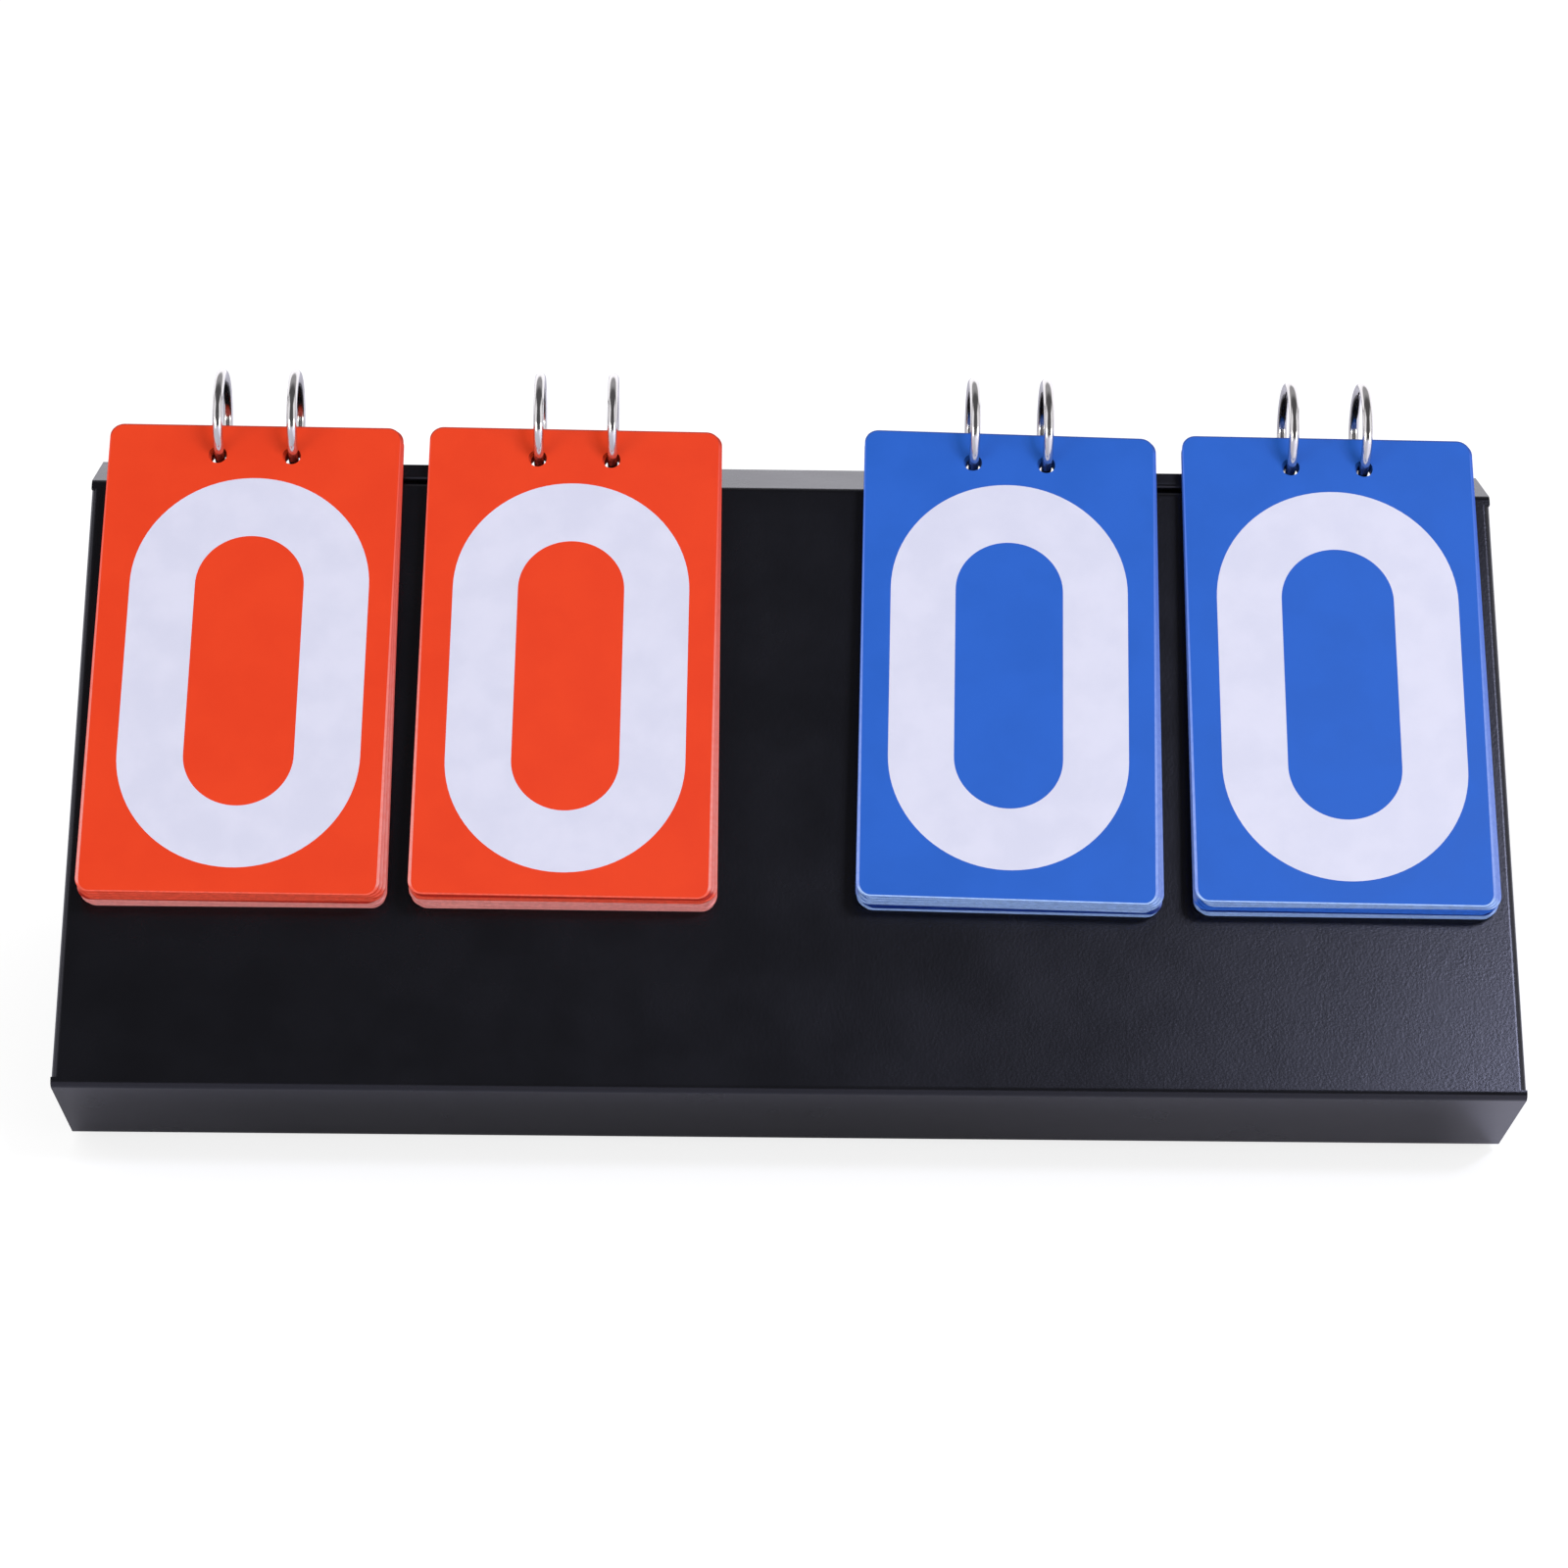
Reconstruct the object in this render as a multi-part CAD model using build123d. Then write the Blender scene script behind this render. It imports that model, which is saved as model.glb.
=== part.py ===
from build123d import *
from math import cos, pi, radians, sin, sqrt, tan
import os

# Tabletop flip scoreboard: a bent sheet-steel A-frame with four stacks of number cards on wire rings.
# Millimetres, +Z up, +X to the viewer's right, -Y towards the viewer.
# The origin is on the table, midway along the width and the depth.

# ---- Stand, bent sheet ----
stand_width = 385.0
sheet = 1.2                  # sheet thickness
bend_radius = 2.0            # outer radius of every bend
face_slope = 51.0            # degrees, face against the table
face_length = 173.2          # from ridge fold to bottom fold
ridge_depth = 23.0           # level ridge between the two faces' planes
lip_length = 42.5            # lip that turns back under the face, square to it
floor_flange = 20.0          # level flange at the lip's end that carries the feet
floor_corner = 8.0           # its two free corners, seen from below
side_return = 10.0           # depth of the returns along the sloping edges
corner_relief = 2.4          # gap between a side return and the bend beside it
lap_length = 17.0            # rear shell's flange under the front shell's ridge flange
lap_setback = 0.8            # ridge flange stops this short of the rear face's plane
drill_depth = 12.0           # tool travel of every hole, centred on the sheet

# ---- Rubber feet ----
foot_height = 2.5
foot_diameter = 13.0
foot_chamfer = 0.8
foot_stem = 4.0              # stem diameter in the floor flange
foot_barb = 6.0              # barb diameter above the floor flange
foot_barb_height = 2.0
foot_barb_tip = 3.0          # diameter at the barb's top
foot_inset_x = 15.0          # foot axis from the side edge
foot_inset_y = 12.0          # foot axis from the lip's end

# ---- Card stacks ----
cards_per_stack = 10
card_width = 79.8
card_length = 138.0
card_thickness = 0.38
card_gap = 0.06              # air between neighbouring cards
card_corner = 3.8
card_hole = 5.0
hole_pitch = 20.2            # between the two holes of a card
hole_from_top = 9.1          # hole axis below the card's top edge
stack_clearance = 0.25       # rearmost card off the face's plane
card_fan = 0.2               # degrees that each card stands off the one behind it
card_twist_scatter = 0.22    # degrees, most that a card hangs out of line with its stack
card_side_scatter = 0.3      # most that a card hangs to one side of its stack
red_tens_twist = -0.1        # degrees, how far each stack hangs out of square
red_units_twist = -0.3
blue_tens_twist = -1.1
blue_units_twist = -0.3
stack_gap = 7.8              # between the two stacks of a colour
end_margin = 5.2             # outer stack's edge from the stand's side

# ---- Rings ----
wire = 2.8
ring_radius = 12.5           # centreline
ring_seam = 0.3              # butt joint between the wire's ends
ring_lift = 0.3              # ring above the hanger strip's foot
wire_seat = 0.2              # wire below the top of a card's hole
front_hole_height = 5.7      # front card's holes above the ridge fold, measured along the slope

# ---- Hanger strips ----
strip_sheet = 1.0
strip_bend = 1.5             # outer radius of the bend at the foot
strip_end = 3.2              # strip beyond each of its outer tabs
strip_foot = 19.0            # width of the level foot on the ridge
strip_corner = 3.0           # the foot's two free corners
web_height = 6.0             # upstand between the tabs, along the slope
tab_height = 11.2            # upstand behind a stack, along the slope
tab_width = 42.0             # across the two ring holes of a stack
tab_corner = 4.0

# ---- Rivets ----
rivet_shank = 3.2
rivet_head = 6.4
rivet_head_height = 1.1
rivet_mandrel = 1.8          # broken-off mandrel's hole in the head
rivet_mandrel_depth = 0.8
rivet_bulb = 4.8             # blind side
rivet_bulb_height = 2.6
rivet_from_end = 6.0         # outer rivets from the strip's ends
rivet_back = 12.0            # rivet axis behind the ridge fold

# ---- Worked out from the sizes above ----
slope_cos = cos(radians(face_slope))
slope_sin = sin(radians(face_slope))
face_run = face_length * slope_cos
face_drop = face_length * slope_sin
lip_run = lip_length * slope_sin
lip_drop = lip_length * slope_cos
ridge_height = foot_height + lip_drop + face_drop
fold_y = -ridge_depth / 2
card_pitch = card_thickness + card_gap
stack_spacing = card_width + stack_gap
pair_centre = (stand_width - stack_spacing - card_width) / 2 - end_margin
lip_end_y = fold_y - face_run + lip_run
strip_half_length = (stack_spacing + tab_width) / 2 + strip_end
foot_place_x = stand_width / 2 - foot_inset_x
foot_place_y = lip_end_y + foot_inset_y
stacks = {
    "red_tens": (-pair_centre - stack_spacing / 2, red_tens_twist),
    "red_units": (-pair_centre + stack_spacing / 2, red_units_twist),
    "blue_tens": (pair_centre - stack_spacing / 2, blue_tens_twist),
    "blue_units": (pair_centre + stack_spacing / 2, blue_units_twist),
}

# The slope frame has its origin on the front ridge fold: local x is the stand's +X, local y runs up the
# face's plane and local z stands square to it, towards the viewer.
slope_plane = Plane(
    origin=(0, fold_y, ridge_height),
    x_dir=(1, 0, 0),
    z_dir=(0, -slope_sin, slope_cos),
)


def slope_point(out, up):
    """Y and Z of a point a distance out from the face's plane and up it, from the front ridge fold."""
    y = fold_y - out * slope_sin + up * slope_cos
    z = ridge_height + out * slope_cos + up * slope_sin
    return y, z


def card_out(number):
    """Distance of a card's middle plane from the face's plane; card 0 is the front one."""
    from_rear = cards_per_stack - 1 - number
    return stack_clearance + card_thickness / 2 + from_rear * card_pitch


# The wire passes the front card's hole just under the hole's top, which sets the ring's place.
hang = card_hole / 2 - wire / 2 - wire_seat
front_wire_y, front_wire_z = slope_point(card_out(0), front_hole_height + hang)
ring_z = ridge_height + strip_sheet + ring_lift + wire / 2 + ring_radius
ring_y = front_wire_y + sqrt(ring_radius**2 - (ring_z - front_wire_z) ** 2)
ring_out = -(ring_y - fold_y) * slope_sin + (ring_z - ridge_height) * slope_cos
ring_up = (ring_y - fold_y) * slope_cos + (ring_z - ridge_height) * slope_sin


def wire_up(out):
    """Where the ring's centreline crosses a plane parallel to the face, measured up the slope."""
    return ring_up - sqrt(ring_radius**2 - (out - ring_out) ** 2)


def bent_sheet(points, thickness, radius, length):
    """Sheet bent along X, from its outer surface's corners in Y and Z. The metal lies on their left."""
    outer = FilletPolyline(*points, radius=radius)
    section = make_face(offset(outer, amount=thickness, side=Side.LEFT))
    return extrude(Plane.YZ * section, amount=length / 2, both=True)


def side_returns():
    """The face's two side edges, turned in square to it along the slope."""
    down_slope = Plane(origin=slope_plane.origin, x_dir=(1, 0, 0), z_dir=(0, -slope_cos, -slope_sin))
    half = stand_width / 2
    outer = FilletPolyline(
        (-half, -side_return), (-half, 0), (half, 0), (half, -side_return), radius=bend_radius
    )
    section = make_face(offset(outer, amount=sheet, side=Side.RIGHT))
    length = face_length - 2 * corner_relief
    return extrude(down_slope * Pos(0, 0, corner_relief) * section, amount=length)


def edge_strips():
    """The two strips of flat face that the side returns' bends take the place of."""
    length = face_length - 2 * corner_relief
    centre_x = (stand_width - bend_radius) / 2
    strip = Box(bend_radius, length, 2 * sheet)
    places = [Pos(side * centre_x, -face_length / 2, -sheet / 2) for side in (-1, 1)]
    return [slope_plane * place * strip for place in places]


def shell(ridge_edge_y, fold_drop):
    """One bent shell: ridge or lap flange, face with its side returns, lip and floor flange.

    fold_drop lowers the level flange, and its fold moves down the same face's plane with it."""
    fold = (fold_y - fold_drop / tan(radians(face_slope)), ridge_height - fold_drop)
    bottom_fold = slope_point(0, -face_length)
    lip_end = slope_point(-lip_length, -face_length)
    points = [
        (ridge_edge_y, fold[1]),
        fold,
        bottom_fold,
        lip_end,
        (lip_end[0] + floor_flange, lip_end[1]),
    ]
    body = bent_sheet(points, sheet, bend_radius, stand_width)
    for strip in edge_strips():
        body -= strip
    body += side_returns()
    for foot_x in (-foot_place_x, foot_place_x):
        body -= Pos(foot_x, foot_place_y, foot_height) * Cylinder(foot_stem / 2, drill_depth)
    upright_low = body.edges().filter_by(Axis.Z).group_by(Axis.Z)[0]
    return fillet(upright_low.group_by(Axis.Y)[-1], floor_corner)


def rivet_places():
    """X and Y of every rivet axis."""
    outer = strip_half_length - rivet_from_end
    return [
        (middle + step, fold_y + rivet_back)
        for middle in (-pair_centre, pair_centre)
        for step in (-outer, 0, outer)
    ]


def drill_rivets(body):
    """Rivet holes through whatever level sheet lies at the ridge."""
    for x, y in rivet_places():
        body -= Pos(x, y, ridge_height) * Cylinder(rivet_shank / 2, drill_depth)
    return body


def front_shell():
    return drill_rivets(shell(fold_y + ridge_depth - lap_setback, 0))


def rear_shell():
    """The same blank turned round, with its level flange lapped under the front shell's."""
    lapped = shell(fold_y + lap_length, sheet)
    return drill_rivets(lapped.rotate(Axis.Z, 180))


def hanger_strip(centre_x):
    """Angle strip for one colour: foot on the ridge, web in the face's plane and a tab behind each stack."""
    points = [
        slope_point(0, tab_height),
        (fold_y, ridge_height),
        (fold_y + strip_foot, ridge_height),
    ]
    body = Pos(centre_x, 0, 0) * bent_sheet(points, strip_sheet, strip_bend, 2 * strip_half_length)
    above_web = tab_height - web_height
    waste = Pos(centre_x, web_height + above_web, 0) * Rectangle(2 * strip_half_length, 2 * above_web)
    for stack_x in (centre_x - stack_spacing / 2, centre_x + stack_spacing / 2):
        tab = Pos(stack_x, tab_height / 2, 0) * Rectangle(tab_width, tab_height)
        top_corners = tab.vertices().group_by(Axis.Y)[-1]
        waste -= fillet(top_corners, tab_corner)
    body -= extrude(slope_plane * waste, amount=2 * strip_sheet, both=True)
    hole_up = wire_up(-strip_sheet / 2)
    for stack_x in (centre_x - stack_spacing / 2, centre_x + stack_spacing / 2):
        for hole_x in (stack_x - hole_pitch / 2, stack_x + hole_pitch / 2):
            drill = Pos(hole_x, hole_up, -strip_sheet / 2) * Cylinder(card_hole / 2, 2 * strip_sheet)
            body -= slope_plane * drill
    foot_corners = body.edges().filter_by(Axis.Z).group_by(Axis.Y)[-1]
    return drill_rivets(fillet(foot_corners, strip_corner))


def rivet(x, y):
    """Blind rivet through the strip's foot, the ridge flange and the lap flange, its bulb below."""
    top = strip_sheet
    bottom = -2 * sheet
    head_radius = rivet_head / 2
    shank_radius = rivet_shank / 2
    bulb_radius = rivet_bulb / 2
    mandrel_radius = rivet_mandrel / 2
    crown = top + rivet_head_height
    outline = Polyline(
        (mandrel_radius, crown),
        (mandrel_radius, crown - rivet_mandrel_depth),
        (0, crown - rivet_mandrel_depth),
        (0, bottom - rivet_bulb_height),
        (shank_radius, bottom - rivet_bulb_height),
        (bulb_radius, bottom - rivet_bulb_height / 2),
        (bulb_radius, bottom),
        (shank_radius, bottom),
        (shank_radius, top),
        (head_radius, top),
    )
    dome = TangentArc((mandrel_radius, crown), (head_radius, top), tangent=(1, 0))
    section = make_face(outline + dome)
    return Pos(x, y, ridge_height) * revolve(Plane.XZ * section, Axis.Z)


def rubber_foot(side_x, side_y):
    """Push-in foot: pad on the table, stem through the floor flange and a tapered barb above it."""
    pad_radius = foot_diameter / 2
    stem_radius = foot_stem / 2
    barb_radius = foot_barb / 2
    seat = foot_height + sheet
    half_section = Polyline(
        (0, 0),
        (pad_radius - foot_chamfer, 0),
        (pad_radius, foot_chamfer),
        (pad_radius, foot_height),
        (stem_radius, foot_height),
        (stem_radius, seat),
        (barb_radius, seat),
        (foot_barb_tip / 2, seat + foot_barb_height),
        (0, seat + foot_barb_height),
        (0, 0),
    )
    body = revolve(Plane.XZ * make_face(half_section), Axis.Z)
    return Pos(side_x * foot_place_x, side_y * -foot_place_y, 0) * body


def ring(centre_x):
    """Round wire ring about an axis along X, its ends butted at the bottom."""
    section = Pos(ring_radius, 0, 0) * Circle(wire / 2)
    seam_angle = ring_seam / ring_radius * 180 / pi
    loop = revolve(Plane.XZ * section, Axis.Z, 360 - seam_angle)
    loop = Rot(0, 0, seam_angle / 2) * loop
    return Pos(centre_x, ring_y, ring_z) * Rot(0, 90, 0) * loop


def card(stack_x, stack_twist, number):
    """One number card, hanging by its two holes from the stack's rings."""
    from_rear = cards_per_stack - 1 - number
    scatter = (number * 7 % 5 - 2) / 2
    twist = stack_twist + scatter * card_twist_scatter
    drop = hang - hole_pitch / 2 * abs(sin(radians(twist)))
    blank = RectangleRounded(card_width, card_length, card_corner)
    outline = Pos(0, hole_from_top - card_length / 2) * blank
    for hole_x in (-hole_pitch / 2, hole_pitch / 2):
        outline -= Pos(hole_x, 0) * Circle(card_hole / 2)
    out = card_out(number)
    place = Pos(stack_x + scatter * card_side_scatter, wire_up(out) - drop, out) * Rot(0, 0, twist)
    body = extrude(slope_plane * place * outline, amount=card_thickness / 2, both=True)
    return body.rotate(Axis((0, ring_y, ring_z), (-1, 0, 0)), from_rear * card_fan)


os.makedirs("parts", exist_ok=True)


def save(name, shape):
    """Write one sub-part as parts/NAME.step."""
    shape.label = name
    export_step(shape, f"parts/{name}.step")


save("front_shell", front_shell())
save("rear_shell", rear_shell())
save("hanger_strip_red", hanger_strip(-pair_centre))
save("hanger_strip_blue", hanger_strip(pair_centre))
save("rivets", Compound([rivet(x, y) for x, y in rivet_places()]))
for row, side_y in (("front", -1), ("rear", 1)):
    for end, side_x in (("left", -1), ("right", 1)):
        save(f"foot_{row}_{end}", rubber_foot(side_x, side_y))
for stack, (stack_x, stack_twist) in stacks.items():
    save(f"ring_{stack}_left", ring(stack_x - hole_pitch / 2))
    save(f"ring_{stack}_right", ring(stack_x + hole_pitch / 2))
    for number in range(cards_per_stack):
        save(f"card_{stack}_{number}", card(stack_x, stack_twist, number))
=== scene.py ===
import math
from collections import namedtuple

import bmesh
import bpy
from mathutils import Matrix, Vector
from mathutils.geometry import delaunay_2d_cdt


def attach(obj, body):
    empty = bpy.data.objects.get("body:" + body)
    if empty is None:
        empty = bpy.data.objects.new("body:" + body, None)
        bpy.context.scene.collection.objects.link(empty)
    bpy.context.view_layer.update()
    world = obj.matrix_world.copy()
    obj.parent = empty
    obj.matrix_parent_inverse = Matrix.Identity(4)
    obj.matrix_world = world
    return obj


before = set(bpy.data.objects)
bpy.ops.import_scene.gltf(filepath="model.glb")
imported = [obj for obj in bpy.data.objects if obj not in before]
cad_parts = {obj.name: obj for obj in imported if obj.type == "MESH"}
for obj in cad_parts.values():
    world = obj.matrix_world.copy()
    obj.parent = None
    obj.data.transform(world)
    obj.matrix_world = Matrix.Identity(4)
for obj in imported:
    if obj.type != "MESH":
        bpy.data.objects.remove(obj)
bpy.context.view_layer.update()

# Tabletop flip scoreboard: powder-coated sheet stand, forty plastic number cards on nickel rings.
# The CAD frame: +Z up, +X to the viewer's right, -Y towards the viewer.
# Cards and their print are laid out in millimetres; lamps, floor, bumps and noise are in metres.

MM = 0.001

# ---- Where the cards hang, as in the CAD source ----
FACE_SLOPE = math.radians(51.0)
SIN, COS = math.sin(FACE_SLOPE), math.cos(FACE_SLOPE)
OUTWARD = (0.0, -SIN, COS)
DOWN_SLOPE = (0.0, -COS, -SIN)
FOLD_Y = -11.5              # the fold between the ridge and the front face
RIDGE_HEIGHT = 163.848
RING_Y = -0.6203            # the rings' axis
RING_Z = 179.0476
RING_RADIUS = 12.5          # to the middle of the wire
CARDS = 10
CARD_WIDTH = 79.8
CARD_LENGTH = 138.0
CARD_THICKNESS = 0.38
CARD_PITCH = 0.44           # from card to card
CARD_CORNER = 3.8
HOLE_FROM_TOP = 9.1
HOLE_PITCH = 20.2
HANG = 0.9                  # a card's holes below the middle of the wire
STACK_CLEARANCE = 0.25      # between the rear card and the face
CARD_FAN = math.radians(0.2)
CARD_TWIST_SCATTER = 0.22   # degrees
CARD_SIDE_SCATTER = 0.3
PAIR_CENTRE = 103.6
STACK_SPACING = 87.6

Stack = namedtuple("Stack", "x twist half_width half_height print_x print_y edges")

# Each stack's middle, its twist in degrees, its print's half size and middle,
# and its cards' cut edges from the front card, 0, to the rear card, 9.
STACKS = {
    "red_tens": Stack(
        -PAIR_CENTRE - STACK_SPACING / 2, -0.1, 32.3, 57.3, 0.8, -64.3,
        ("inked",) * 5 + ("shadowed",) + ("bare",) * 4,
    ),
    "red_units": Stack(
        -PAIR_CENTRE + STACK_SPACING / 2, -0.3, 32.0, 57.3, 0.3, -64.8,
        ("inked", "shadowed", "inked", "inked") + ("bare",) * 6,
    ),
    "blue_tens": Stack(
        PAIR_CENTRE - STACK_SPACING / 2, -1.1, 32.2, 56.9, 0.1, -63.5,
        ("bare",) * 6 + ("shadowed",) * 2 + ("bare",) * 2,
    ),
    "blue_units": Stack(
        PAIR_CENTRE + STACK_SPACING / 2, -0.3, 32.9, 57.5, 1.3, -64.9,
        ("bare",) * 3 + ("inked",) * 3 + ("shadowed",) + ("bare",) * 3,
    ),
}

# ---- Print and rim on a card's front ----
OVER = CARD_THICKNESS / 2 + 0.02    # the layer's two levels above the card's middle plane
UNDER = CARD_THICKNESS / 2 - 0.02
MERGE = 0.03                # outline points closer than this become one
STROKE = 17.6
LAP = 2                     # degrees that strokes which meet on a bowl run past each other
TERMINAL = 1.0              # straight end of an open bowl
WAIST = 9.0                 # top of the lower bowl's middle line in 5 and 6, above the middle
TONGUE = 7.0                # length of the straight inner ends of 3
RIM_INSET = 0.03
RIM_TOP = 0.3               # the rim's widths
RIM_SIDE = 0.8
RIM_FOOT = 0.35
CORNER_STEPS = 8


def rgb(red, green, blue):
    return (red, green, blue, 1.0)


def darker(colour, share):
    return rgb(*(share * c for c in colour[:3]))


# ---- Card colours ----
# A face's two shades, the cut sides, and the rim's colours: inked; down the sides, bare plastic
# with a painted highlight; along the top, a painted shade.
PRINTS = {
    "red": (rgb(0.87, 0.049, 0.003), rgb(0.84, 0.044, 0.003)),
    "blue": (rgb(0.013, 0.121, 0.57), rgb(0.010, 0.112, 0.535)),
}
SIDES = {"red": rgb(0.72, 0.10, 0.07), "blue": rgb(0.10, 0.20, 0.66)}
RIMS = {
    "red": (rgb(0.90, 0.085, 0.040), rgb(0.92, 0.30, 0.25), rgb(0.50, 0.030, 0.010)),
    "blue": (rgb(0.045, 0.165, 0.68), rgb(0.26, 0.38, 0.82), rgb(0.012, 0.070, 0.34)),
}
# A card's cut foot is bare, inked like its face, or shadowed: a painted shadow, as dark as the gap
# between neighbouring cards.
FEET = {
    "red": {
        "bare": rgb(1.0, 0.42, 0.38),
        "inked": rgb(1.0, 0.12, 0.06),
        "shadowed": rgb(0.52, 0.018, 0.008),
    },
    "blue": {
        "bare": rgb(0.42, 0.62, 1.0),
        "inked": rgb(0.04, 0.20, 0.85),
        "shadowed": rgb(0.003, 0.026, 0.23),
    },
}


# ---------------------------------------------------------------- shader nodes
class Shader:
    """A node tree with short ways to add and join nodes."""

    def __init__(self, tree):
        self.tree = tree
        tree.nodes.clear()

    def add(self, kind, sockets=None, **settings):
        node = self.tree.nodes.new(kind)
        for key, value in settings.items():
            setattr(node, key, value)
        for key, value in (sockets or {}).items():
            self.feed(node.inputs[key], value)
        return node

    def feed(self, socket, value):
        if isinstance(value, bpy.types.NodeSocket):
            self.tree.links.new(value, socket)
        elif isinstance(value, bpy.types.Node):
            self.tree.links.new(value.outputs[0], socket)
        else:
            socket.default_value = value

    def math(self, operation, *values):
        node = self.add("ShaderNodeMath", operation=operation)
        for socket, value in zip(node.inputs, values):
            self.feed(socket, value)
        return node.outputs[0]

    def times(self, first, *others):
        for other in others:
            first = self.math("MULTIPLY", first, other)
        return first

    def ramp(self, value, low, high, to_low=0.0, to_high=1.0):
        """Smooth step of a value from low to high."""
        sockets = {
            "Value": value, "From Min": low, "From Max": high, "To Min": to_low, "To Max": to_high
        }
        node = self.add("ShaderNodeMapRange", sockets, interpolation_type="SMOOTHSTEP")
        return node.outputs["Result"]

    def mix(self, share, first, second):
        """Colour mix."""
        node = self.add("ShaderNodeMix", data_type="RGBA")
        self.feed(node.inputs["Factor"], share)
        self.feed(node.inputs["A"], first)
        self.feed(node.inputs["B"], second)
        return next(out for out in node.outputs if out.type == "RGBA")

    def along(self, vector, way):
        """A vector's part along a fixed direction."""
        node = self.add("ShaderNodeVectorMath", {0: vector, 1: way}, operation="DOT_PRODUCT")
        return node.outputs["Value"]

    def split(self, vector):
        return self.add("ShaderNodeSeparateXYZ", {0: vector}).outputs


class Surface(Shader):
    """A material with a Principled shader."""

    def __init__(self, name):
        self.material = bpy.data.materials.new(name)
        self.material.use_nodes = True
        super().__init__(self.material.node_tree)
        self.principled = self.add("ShaderNodeBsdfPrincipled")
        self.add("ShaderNodeOutputMaterial", {"Surface": self.principled})
        coordinates = self.add("ShaderNodeTexCoord")
        self.where = coordinates.outputs["Object"]
        self.normal = coordinates.outputs["Normal"]
        self.uv = coordinates.outputs["UV"]

    def put(self, name, value):
        self.feed(self.principled.inputs[name], value)

    def noise(self, scale, detail):
        sockets = {"Vector": self.where, "Scale": scale, "Detail": detail}
        return self.add("ShaderNodeTexNoise", sockets).outputs[0]

    def bump(self, height, distance, strength):
        sockets = {"Height": height, "Distance": distance, "Strength": strength}
        self.put("Normal", self.add("ShaderNodeBump", sockets))


# ---------------------------------------------------------------- materials
def powder_coat():
    """Black powder coat: satin, with a grain under a millimetre across and a faint cloudiness."""
    coat = Surface("powder_coat")
    cloud = coat.noise(scale=45.0, detail=3.0)
    dark, pale = rgb(0.0034, 0.0034, 0.0042), rgb(0.0046, 0.0046, 0.0058)
    coat.put("Base Color", coat.mix(coat.ramp(cloud, 0.3, 0.7), dark, pale))
    coat.put("Roughness", coat.ramp(cloud, 0.25, 0.75, to_low=0.24, to_high=0.28))
    coat.put("Specular Tint", rgb(0.88, 0.88, 1.0))
    waves, grain = coat.noise(scale=300.0, detail=1.0), coat.noise(scale=1400.0, detail=1.5)
    height = coat.math("MULTIPLY_ADD", waves, 0.5, grain)
    coat.bump(height, distance=0.00004, strength=0.6)
    return coat.material


def nickel():
    """Bright nickel-plated wire, faintly clouded."""
    wire = Surface("ring_nickel")
    cloud = wire.noise(scale=400.0, detail=3.0)
    wire.put("Base Color", wire.mix(cloud, rgb(0.66, 0.64, 0.61), rgb(0.76, 0.745, 0.72)))
    wire.put("Metallic", 1.0)
    wire.put("Roughness", wire.ramp(cloud, 0.3, 0.7, to_low=0.10, to_high=0.17))
    wire.bump(wire.noise(scale=2500.0, detail=2.0), distance=0.000004, strength=0.4)
    return wire.material


def rivet_black():
    """Blackened rivets: part metal, glossier than rubber and paler than the coat."""
    head = Surface("rivet_black")
    cloud = head.noise(scale=800.0, detail=3.0)
    head.put("Base Color", head.mix(cloud, rgb(0.010, 0.010, 0.012), rgb(0.022, 0.022, 0.025)))
    head.put("Metallic", 0.35)
    head.put("Roughness", head.ramp(cloud, 0.3, 0.7, to_low=0.28, to_high=0.38))
    head.bump(cloud, distance=0.00002, strength=0.3)
    return head.material


def rubber():
    """Matt moulded rubber."""
    foot = Surface("foot_rubber")
    grain = foot.noise(scale=1800.0, detail=3.0)
    foot.put("Base Color", foot.mix(grain, rgb(0.012, 0.012, 0.012), rgb(0.024, 0.024, 0.023)))
    foot.put("Roughness", foot.ramp(grain, 0.3, 0.7, to_low=0.72, to_high=0.86))
    foot.bump(grain, distance=0.00004, strength=0.5)
    return foot.material


def ink():
    """Screen-printed white, a little cool and slightly uneven."""
    white = Surface("digit_ink")
    cloud = white.noise(scale=90.0, detail=4.0)
    dull, clean = rgb(0.70, 0.70, 0.81), rgb(0.745, 0.74, 0.845)
    white.put("Base Color", white.mix(white.ramp(cloud, 0.3, 0.7), dull, clean))
    white.put("Roughness", white.ramp(cloud, 0.25, 0.75, to_low=0.42, to_high=0.52))
    white.bump(white.noise(scale=1100.0, detail=2.0), distance=0.000008, strength=0.4)
    return white.material


def card_plastic(name, colour, deep, edge, side):
    """Printed plastic sheet: satin faces, cut sides in one colour and a cut foot in another.

    Cut walls are told from the faces by the way they point, and the foot from the hole walls,
    which get a painted shade, by how low it is.
    """
    card = Surface(name)
    cloud = card.noise(scale=60.0, detail=4.0)
    face = card.mix(card.ramp(cloud, 0.3, 0.7), deep, colour)
    facing = card.math("ABSOLUTE", card.along(card.normal, OUTWARD))
    pointing_down = card.ramp(card.along(card.normal, DOWN_SLOPE), 0.1, 0.7)
    low_down = card.ramp(card.along(card.where, DOWN_SLOPE), -0.06, -0.04)
    streaks = card.ramp(card.noise(scale=500.0, detail=2.0), 0.25, 0.6, to_low=0.8, to_high=1.0)
    # Hole walls, high on the card, get a painted shade: the deep face colour at a fifth.
    foot = card.mix(low_down, darker(deep, 0.2), card.mix(streaks, side, edge))
    cut = card.mix(pointing_down, side, foot)
    card.put("Base Color", card.mix(card.ramp(facing, 0.45, 0.8), cut, face))
    card.put("Roughness", card.ramp(cloud, 0.25, 0.75, to_low=0.46, to_high=0.54))
    card.put("Specular IOR Level", 0.3)
    waves, grain = card.noise(scale=120.0, detail=2.0), card.noise(scale=1500.0, detail=1.0)
    card.bump(card.math("MULTIPLY_ADD", waves, 4.0, grain), distance=0.00001, strength=0.35)
    return card.material


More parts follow.
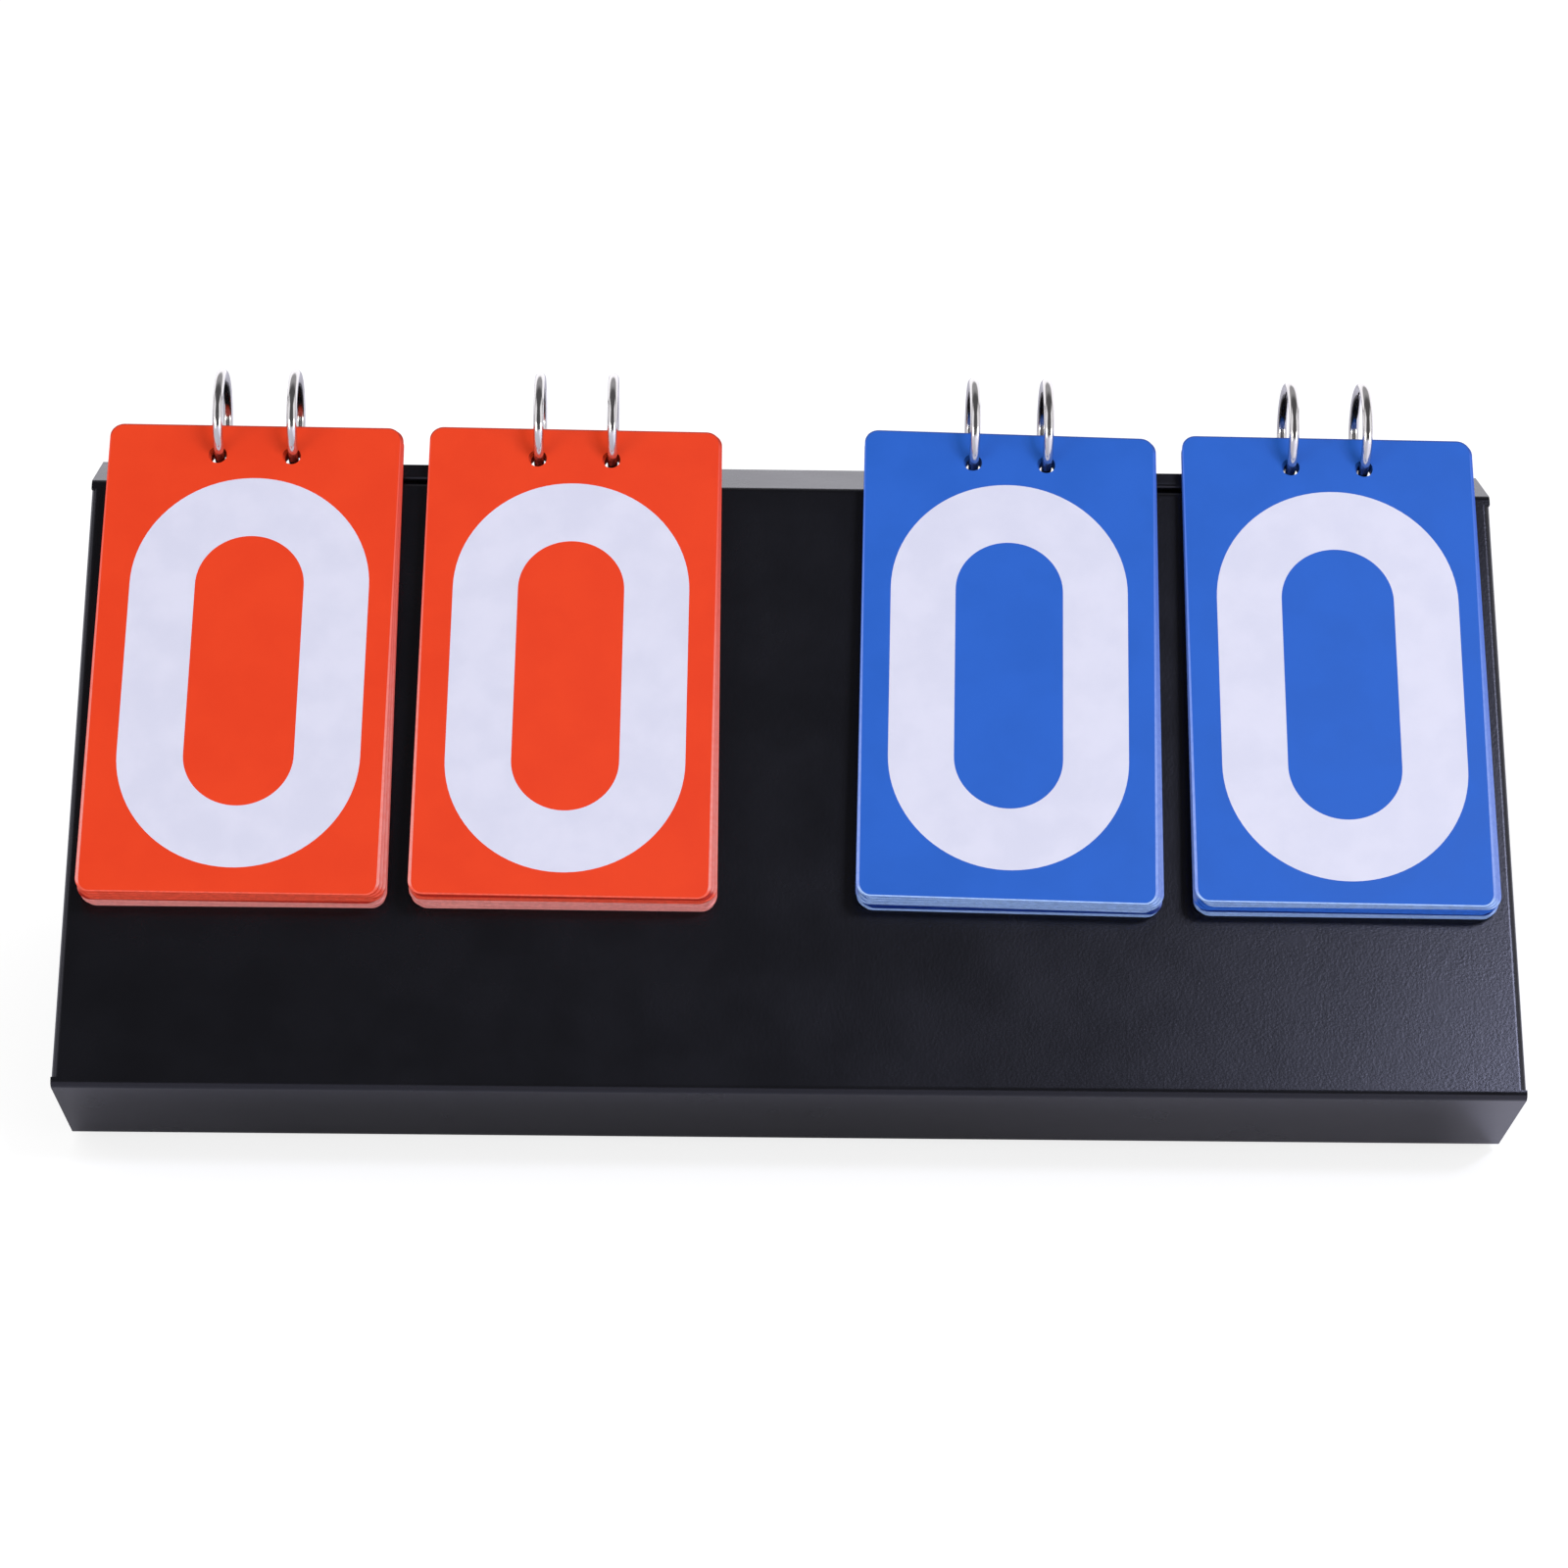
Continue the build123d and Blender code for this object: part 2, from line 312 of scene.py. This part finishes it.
def rim_with_painted_light(name, printed, side, top, foot):
    """A card's trimmed rim: paler down the sides, bare plastic with a painted highlight;
    dark along the top, a painted shade; its foot as the cut left it, or a painted shadow.

    Heights are shares of the card's length, in the rim's own UV map.
    """
    edge = Surface(name)
    height = edge.split(edge.uv)["Y"]
    grain = edge.noise(scale=700.0, detail=3.0)
    # Paler towards the foot down the sides: bare plastic with a painted highlight.
    bare = edge.mix(edge.ramp(height, 0.95, 0.05), printed, side)
    bare = edge.mix(edge.ramp(grain, 0.3, 0.6, to_low=0.25, to_high=0.0), bare, printed)
    streaks = edge.mix(edge.ramp(grain, 0.35, 0.65), darker(foot, 0.82), foot)
    bare = edge.mix(edge.ramp(height, 0.022, 0.012), bare, streaks)
    # A dark strip along the top: painted shade of the top edge.
    edge.put("Base Color", edge.mix(edge.ramp(height, 0.965, 0.985), bare, top))
    edge.put("Roughness", edge.math("MULTIPLY_ADD", grain, 0.15, 0.425))
    edge.bump(grain, distance=0.00001, strength=0.4)
    return edge.material


materials = {
    "powder_coat": powder_coat(),
    "rivet_black": rivet_black(),
    "foot_rubber": rubber(),
    "ring_nickel": nickel(),
    "digit_ink": ink(),
}
for team, feet in FEET.items():
    for look, foot in feet.items():
        name = f"card_{team}_{look}"
        materials[name] = card_plastic(name, *PRINTS[team], foot, SIDES[team])
        name = f"rim_{team}_{look}"
        materials[name] = rim_with_painted_light(name, *RIMS[team], foot)


def paint(obj, made):
    obj.data.materials.clear()
    obj.data.materials.append(made)


def finish_of(node):
    """The material of a CAD node, from its name."""
    if node.startswith("card_"):
        _, team, place, number = node.split("_")
        return f"card_{team}_{STACKS[f'{team}_{place}'].edges[int(number)]}"
    if node.startswith("ring_"):
        return "ring_nickel"
    if node.startswith("foot_"):
        return "foot_rubber"
    if node == "rivets":
        return "rivet_black"
    return "powder_coat"


for node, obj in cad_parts.items():
    paint(obj, materials[finish_of(node)])


# ---------------------------------------------------------------- numbers
def slab(left, low, right, high):
    return [(left, low), (right, low), (right, high), (left, high)]


def arc(centre, radius, start, end, step=4.0):
    """Points on an arc, angles in degrees."""
    count = max(2, round(abs(end - start) / step))
    turns = [math.radians(start + (end - start) * i / count) for i in range(count + 1)]
    x, y = centre
    return [Vector((x + radius * math.cos(t), y + radius * math.sin(t))) for t in turns]


def band(line):
    """Outline of a stroke of the full width along a line with smooth corners, ends cut square."""
    points = [Vector(p) for p in line]
    points = [p for i, p in enumerate(points) if i == 0 or (p - points[i - 1]).length > 1e-6]
    left, right = [], []
    for i, p in enumerate(points):
        before = (p - points[i - 1]).normalized() if i else None
        after = (points[i + 1] - p).normalized() if i + 1 < len(points) else None
        way = before or after
        bisector = way + (after or before)
        across = Vector((-bisector.y, bisector.x)).normalized()
        reach = STROKE / 2 / max(0.2, across.dot(Vector((-way.y, way.x))))
        left.append(p + across * reach)
        right.append(p - across * reach)
    return left + right[::-1]


def numeral(value, half_width, half_height):
    """Overlapping outlines that together make a number, in millimetres about its middle."""
    w, h, s = half_width, half_height, STROKE
    r = w - s / 2       # radius of a bowl's middle line
    c = h - w           # height of the upper bowl's centre
    top, bottom = (0, c), (0, -c)
    if value == 0:
        return [
            band(arc(top, r, 90 - LAP, 180) + arc(bottom, r, 180, 270 + LAP)),
            band(arc(bottom, r, 270 - LAP, 360) + arc(top, r, 0, 90 + LAP)),
        ]
    if value == 1:
        stem, flag = 5.0, -22           # the stem's middle, the flag's tip
        high, low, root = 20, 40, 21    # the flag's corners below the top
        return [
            slab(stem - s / 2, -h, stem + s / 2, h),
            [(stem, h), (stem - s / 2, h), (flag, h - high), (flag, h - low), (stem, h - root)],
        ]
    if value == 2:
        base_top = -h + s
        corner = Vector((-w, base_top))     # where the diagonal's left side meets the base
        away = corner - Vector(top)
        turn = math.degrees(math.atan2(away.y, away.x) + math.acos((w - s) / away.length))
        spoke = Vector((math.cos(math.radians(turn)), math.sin(math.radians(turn))))
        along = Vector((spoke.y, -spoke.x))
        end = Vector(top) + spoke * r
        reach = (end.y - base_top) / -along.y
        hook = [Vector((-r, c - TERMINAL))] + arc(top, r, 180, turn)
        far = corner + Vector((s / abs(along.y), 0))
        join_up, join_down = along * 12, along * 2      # overlaps with the diagonal and base
        return [
            band(hook + [end + along * reach]),
            slab(-w, -h, w, base_top),
            [corner, (-w, -h + s / 2), far + join_down, far - join_up, corner - join_up],
        ]
    if value == 3:
        return [
            band([(-r, c - TERMINAL)] + arc(top, r, 180, -90) + [(-TONGUE, c - r)]),
            band([(-TONGUE, r - c)] + arc(bottom, r, 90, -180) + [(-r, TERMINAL - c)]),
        ]
    if value == 4:
        stem, bar = 12.0, -22.0                     # their middles
        shoulder, crotch, inner = 3, 22, 20.5       # set the diagonal's width
        diagonal = [
            (-w, bar), (-w, bar + s / 2), (stem - s / 2 - shoulder, h),
            (stem, h), (stem, h - crotch), (-w + inner, bar),
        ]
        return [
            slab(stem - s / 2, -h, stem + s / 2, h),
            slab(-w, bar - s / 2, w, bar + s / 2),
            diagonal,
        ]
    if value == 5:
        left, right = -w + 2, w - 3
        bowl = arc((0, WAIST - r), r, 90, 0) + arc(bottom, r, 0, -180)
        return [
            band([(left + s / 2, h), (left + s / 2, 0)]),
            band([(left, h - s / 2), (right, h - s / 2)]),
            band([(left + s / 2, WAIST)] + bowl + [(-r, TERMINAL - c)]),
        ]
    if value == 6:
        return [
            band([(r, c - TERMINAL)] + arc(top, r, 0, 180) + arc(bottom, r, 180, 270 + LAP)),
            band(arc(bottom, r, 270 - LAP, 360) + arc((0, WAIST - r), r, 0, 180)),
        ]
    if value == 7:
        foot, drop, slant = -1, 3, 1.4      # the leg's right end, its start, its extra width
        inner = w - s - slant
        leg = [
            (w, h), (w, h - s - drop), (foot, -h),
            (foot - s - slant, -h), (inner, h - s), (inner, h),
        ]
        return [slab(-w, h - s, w, h), leg]
    if value == 8:
        return [
            band(arc(middle, r, start - 2 * LAP, start + 180 + 2 * LAP))
            for middle in (top, bottom)
            for start in (0, 180)
        ]
    return [[(-x, -y) for x, y in outline] for outline in numeral(6, half_width, half_height)]


def area(outline):
    """Signed area, positive where the outline runs anticlockwise."""
    pairs = zip(outline, outline[1:] + outline[:1])
    return sum(a[0] * b[1] - b[0] * a[1] for a, b in pairs) / 2


def link(obj):
    bpy.context.scene.collection.objects.link(obj)
    return obj


def place_mesh(name, mesh, place):
    """An object from a mesh in millimetres in a card's frame."""
    mesh.transform(Matrix.Scale(MM, 4) @ place)
    data = bpy.data.meshes.new(name)
    mesh.to_mesh(data)
    mesh.free()
    return link(bpy.data.objects.new(name, data))


def solid_number(name, outlines, place):
    """Thin closed layer of ink over the union of the outlines, on the plane that place sets."""
    points, faces = [], []
    for outline in outlines:
        if area(outline) < 0:
            outline = outline[::-1]
        faces.append(list(range(len(points), len(points) + len(outline))))
        points += [Vector(p) for p in outline]
    flat, _, triangles, _, _, sources = delaunay_2d_cdt(points, [], faces, 1, MERGE)
    inside = [tri for tri, source in zip(triangles, sources) if source]
    used = sorted({i for tri in inside for i in tri})
    number = {old: new for new, old in enumerate(used)}
    mesh = bmesh.new()
    over = [mesh.verts.new((flat[i].x, flat[i].y, OVER)) for i in used]
    under = [mesh.verts.new((flat[i].x, flat[i].y, UNDER)) for i in used]
    sides = {}      # a dict and not a set, so that the faces come in the same order each run
    for tri in inside:
        ids = [number[i] for i in tri]
        a, b, c = (flat[i] for i in tri)
        if (b - a).cross(c - a) < 0:
            ids.reverse()
        mesh.faces.new([over[i] for i in ids])
        mesh.faces.new([under[i] for i in reversed(ids)])
        for start, end in zip(ids, ids[1:] + ids[:1]):
            sides[start, end] = True
    for start, end in sides:
        if (end, start) not in sides:
            mesh.faces.new([over[start], under[start], under[end], over[end]])
    return place_mesh(name, mesh, place)


def rim(name, place):
    """Thin closed band round a card's front, widest low on its sides, for bare plastic with
    painted highlight and shade.
    """
    half = CARD_WIDTH / 2
    top, foot = HOLE_FROM_TOP, HOLE_FROM_TOP - CARD_LENGTH
    corners = (
        (half - CARD_CORNER, top - CARD_CORNER, 0),
        (CARD_CORNER - half, top - CARD_CORNER, 90),
        (CARD_CORNER - half, foot + CARD_CORNER, 180),
        (half - CARD_CORNER, foot + CARD_CORNER, 270),
    )
    outer, inner = [], []
    for x, y, start in corners:
        for i in range(CORNER_STEPS + 1):
            turn = math.radians(start + 90 * i / CORNER_STEPS)
            way = Vector((math.cos(turn), math.sin(turn)))
            edge = Vector((x, y)) + way * CARD_CORNER
            low = (top - edge.y) / CARD_LENGTH
            width = (
                RIM_TOP
                + (RIM_SIDE - RIM_TOP) * low * way.x**2
                + (RIM_FOOT - RIM_TOP) * low * way.y**2
            )
            outer.append(edge - way * RIM_INSET)
            inner.append(edge - way * (RIM_INSET + width))
    mesh = bmesh.new()
    uv = mesh.loops.layers.uv.new("card")
    out_over, out_under, in_over, in_under = (
        [mesh.verts.new((p.x, p.y, level)) for p in line]
        for line in (outer, inner)
        for level in (OVER, UNDER)
    )
    walls = (
        (in_over, out_over), (out_over, out_under), (out_under, in_under), (in_under, in_over)
    )
    for i in range(len(outer)):
        j = (i + 1) % len(outer)
        for a, b in walls:
            face = mesh.faces.new((a[i], b[i], b[j], a[j]))
            for loop in face.loops:
                x, y, _ = loop.vert.co
                loop[uv].uv = (x / CARD_WIDTH + 0.5, (y - foot) / CARD_LENGTH)
    return place_mesh(name, mesh, place)


# The face's frame: x across, y up the slope from the fold, z out of the face.
slope_frame = Matrix(
    (
        (1, 0, 0, 0),
        (0, COS, -SIN, FOLD_Y),
        (0, SIN, COS, RIDGE_HEIGHT),
        (0, 0, 0, 1),
    )
)
ring_out = -(RING_Y - FOLD_Y) * SIN + (RING_Z - RIDGE_HEIGHT) * COS
ring_up = (RING_Y - FOLD_Y) * COS + (RING_Z - RIDGE_HEIGHT) * SIN


def card_place(stack, number):
    """A card's frame: x across, y up it from the hole line, z out of its front, middle plane 0."""
    from_rear = CARDS - 1 - number
    scatter = (number * 7 % 5 - 2) / 2      # -1 to 1, as in the CAD source
    twist = math.radians(stack.twist + scatter * CARD_TWIST_SCATTER)
    out = STACK_CLEARANCE + CARD_THICKNESS / 2 + from_rear * CARD_PITCH
    wire_up = ring_up - math.sqrt(RING_RADIUS**2 - (out - ring_out) ** 2)
    drop = HANG - HOLE_PITCH / 2 * abs(math.sin(twist))
    hung = Matrix.Translation((stack.x + scatter * CARD_SIDE_SCATTER, wire_up - drop, out))
    axis = Matrix.Translation((0, RING_Y, RING_Z))
    fan = axis @ Matrix.Rotation(-from_rear * CARD_FAN, 4, "X") @ axis.inverted()
    return fan @ slope_frame @ hung @ Matrix.Rotation(twist, 4, "Z")


for stack_name, stack in STACKS.items():
    team = stack_name.split("_")[0]
    for number in range(CARDS):
        place = card_place(stack, number)
        digit = solid_number(
            f"digit_{stack_name}_{number}",
            numeral(number, stack.half_width, stack.half_height),
            place @ Matrix.Translation((stack.print_x, stack.print_y, 0)),
        )
        paint(digit, materials["digit_ink"])
        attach(digit, f"card_{stack_name}_{number}")
        border = rim(f"rim_{stack_name}_{number}", place)
        paint(border, materials[f"rim_{team}_{stack.edges[number]}"])
        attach(border, f"card_{stack_name}_{number}")


# ---------------------------------------------------------------- floor, light and camera
# Strengths of the studio round the object.
MIRRORED_DARK, MIRRORED_GAIN = 0.10, 1.20       # what glossy surfaces see
SCATTERED_DARK, SCATTERED_GAIN = 0.54, 0.50     # what matt surfaces see
# Painted pools of light: patches of floor that glow for glossy surfaces only, as lit floor under
# the stand's ends: x where each starts and is full, strength.
PAINTED_LIGHT_POOLS = ((0.172, 0.20, 0.30), (0.0, 0.16, 0.09), (-0.13, -0.20, 0.05))
FLOOR_REACH = 4
FLOOR_GLOW = 0.80                               # to the camera, so that the floor is white

MIDDLE = (0, -0.03, 0.09)                       # what the lamps point at

PHOTO_PIXELS = 1600
SENSOR = 36.0
CAMERA_LENS_PIXELS = 4237.9
CAMERA_PITCH, CAMERA_YAW, CAMERA_ROLL = (math.radians(a) for a in (17.871, 1.111, 0.940))
CAMERA_PLACE = Vector((-22.70, -1124.91, 437.5))


def studio_world():
    """White to the camera; to the object a studio with pale rear and flanks and a dark ceiling."""
    world = bpy.data.worlds.new("studio")
    bpy.context.scene.world = world
    world.use_nodes = True
    sky = Shader(world.node_tree)
    x, y, z = sky.split(sky.add("ShaderNodeTexCoord").outputs["Generated"])
    level_part = sky.math("SQRT", sky.math("SUBTRACT", 1.0, sky.times(z, z)))
    aside = sky.math("DIVIDE", sky.math("ABSOLUTE", x), level_part)
    rear = sky.times(sky.ramp(y, 0.05, 0.45), sky.ramp(z, 0.64, 0.44, to_low=0.24))
    flank = sky.times(
        sky.ramp(aside, 0.60, 0.80), sky.ramp(z, 0.75, 0.60), sky.ramp(y, 0.12, -0.02, to_high=0.8)
    )
    front = sky.times(sky.ramp(z, 0.55, 0.05), sky.ramp(y, 0.2, -0.4))
    pale = sky.math("MAXIMUM", rear, flank)
    mirrored = sky.math("MULTIPLY_ADD", pale, MIRRORED_GAIN, MIRRORED_DARK)
    scattered = sky.math("MULTIPLY_ADD", front, SCATTERED_GAIN, SCATTERED_DARK)
    path = sky.add("ShaderNodeLightPath").outputs
    sharp = sky.math("SUBTRACT", 1.0, path["Is Diffuse Ray"])
    soft = sky.times(path["Is Diffuse Ray"], scattered)
    lit = sky.math("MULTIPLY_ADD", mirrored, sharp, soft)
    strength = sky.math("MAXIMUM", lit, path["Is Camera Ray"])
    tint = sky.mix(path["Is Glossy Ray"], rgb(1, 1, 1), rgb(1.0, 0.99, 1.06))
    background = sky.add("ShaderNodeBackground", {"Color": tint, "Strength": strength})
    sky.add("ShaderNodeOutputWorld", {"Surface": background})


def lamp(name, place, size, power, colour=(1, 1, 1)):
    data = bpy.data.lights.new(name, "AREA")
    data.shape = "RECTANGLE"
    data.size, data.size_y = size
    data.energy = power
    data.color = colour
    obj = link(bpy.data.objects.new(name, data))
    obj.location = place
    obj.rotation_euler = (Vector(MIDDLE) - Vector(place)).to_track_quat("-Z", "Y").to_euler()
    return obj


def floor():
    """White to the camera with the object's shadow; to the object pale and a little cool, with
    painted pools of light that glossy rays see.
    """
    made = bpy.data.materials.new("floor")
    made.use_nodes = True
    ground = Shader(made.node_tree)
    path = ground.add("ShaderNodeLightPath").outputs
    x = ground.split(ground.add("ShaderNodeTexCoord").outputs["Object"])["X"]
    first, *others = (ground.ramp(x, start, full, to_high=level) for start, full, level in PAINTED_LIGHT_POOLS)
    for other in others:
        first = ground.math("ADD", first, other)
    # Painted light: the pools glow, and only glossy rays see them.
    painted_pool_glow = ground.times(first, path["Is Glossy Ray"])
    spill = ground.add("ShaderNodeEmission", {"Color": rgb(0.93, 0.92, 1.12), "Strength": painted_pool_glow})
    matt = ground.add("ShaderNodeBsdfDiffuse", {"Color": rgb(0.81, 0.80, 0.90)})
    to_object = ground.add("ShaderNodeAddShader", {0: matt, 1: spill})
    shaded = ground.add("ShaderNodeBsdfDiffuse", {"Color": rgb(0.42, 0.42, 0.42)})
    glow = ground.add("ShaderNodeEmission", {"Color": rgb(1, 1, 1), "Strength": FLOOR_GLOW})
    to_camera = ground.add("ShaderNodeAddShader", {0: shaded, 1: glow})
    both = ground.add(
        "ShaderNodeMixShader", {0: path["Is Camera Ray"], 1: to_object, 2: to_camera}
    )
    ground.add("ShaderNodeOutputMaterial", {"Surface": both})
    mesh = bpy.data.meshes.new("floor")
    corners = slab(-FLOOR_REACH, -FLOOR_REACH, FLOOR_REACH, FLOOR_REACH)
    mesh.from_pydata([(x, y, 0) for x, y in corners], [], [(0, 1, 2, 3)])
    obj = link(bpy.data.objects.new("floor", mesh))
    paint(obj, made)


def camera():
    """The photograph's camera."""
    data = bpy.data.cameras.new("camera")
    data.sensor_width = SENSOR
    data.lens = CAMERA_LENS_PIXELS / PHOTO_PIXELS * SENSOR
    data.clip_start, data.clip_end = 0.05, 50.0
    forward = Vector(
        (
            math.sin(CAMERA_YAW) * math.cos(CAMERA_PITCH),
            math.cos(CAMERA_YAW) * math.cos(CAMERA_PITCH),
            -math.sin(CAMERA_PITCH),
        )
    )
    level = Vector((math.cos(CAMERA_YAW), -math.sin(CAMERA_YAW), 0))
    upward = level.cross(forward)
    right = math.cos(CAMERA_ROLL) * level + math.sin(CAMERA_ROLL) * upward
    up = math.cos(CAMERA_ROLL) * upward - math.sin(CAMERA_ROLL) * level
    obj = link(bpy.data.objects.new("camera", data))
    turn = Matrix((right, up, -forward)).transposed().to_4x4()
    obj.matrix_world = Matrix.Translation(CAMERA_PLACE * MM) @ turn
    bpy.context.scene.camera = obj


studio_world()
floor()
key = lamp("key", (1.08, -1.34, 2.0), size=(0.8, 0.25), power=16.2, colour=(0.92, 0.96, 1.22))
lamp("fill", (-1.3, -1.2, 0.24), size=(0.7, 0.4), power=5.0)
lamp("low", (1.35, -1.05, 0.22), size=(0.6, 0.4), power=4.0)
camera()

# The key lamp leaves the rings out: its mirror image on the wire would be a hard white spot.
wires = bpy.data.collections.new("wires")
for node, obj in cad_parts.items():
    if node.startswith("ring_"):
        wires.objects.link(obj)
for entry in wires.collection_objects:
    entry.light_linking.link_state = "EXCLUDE"
key.light_linking.receiver_collection = wires

bpy.context.scene.view_settings.view_transform = "Standard"
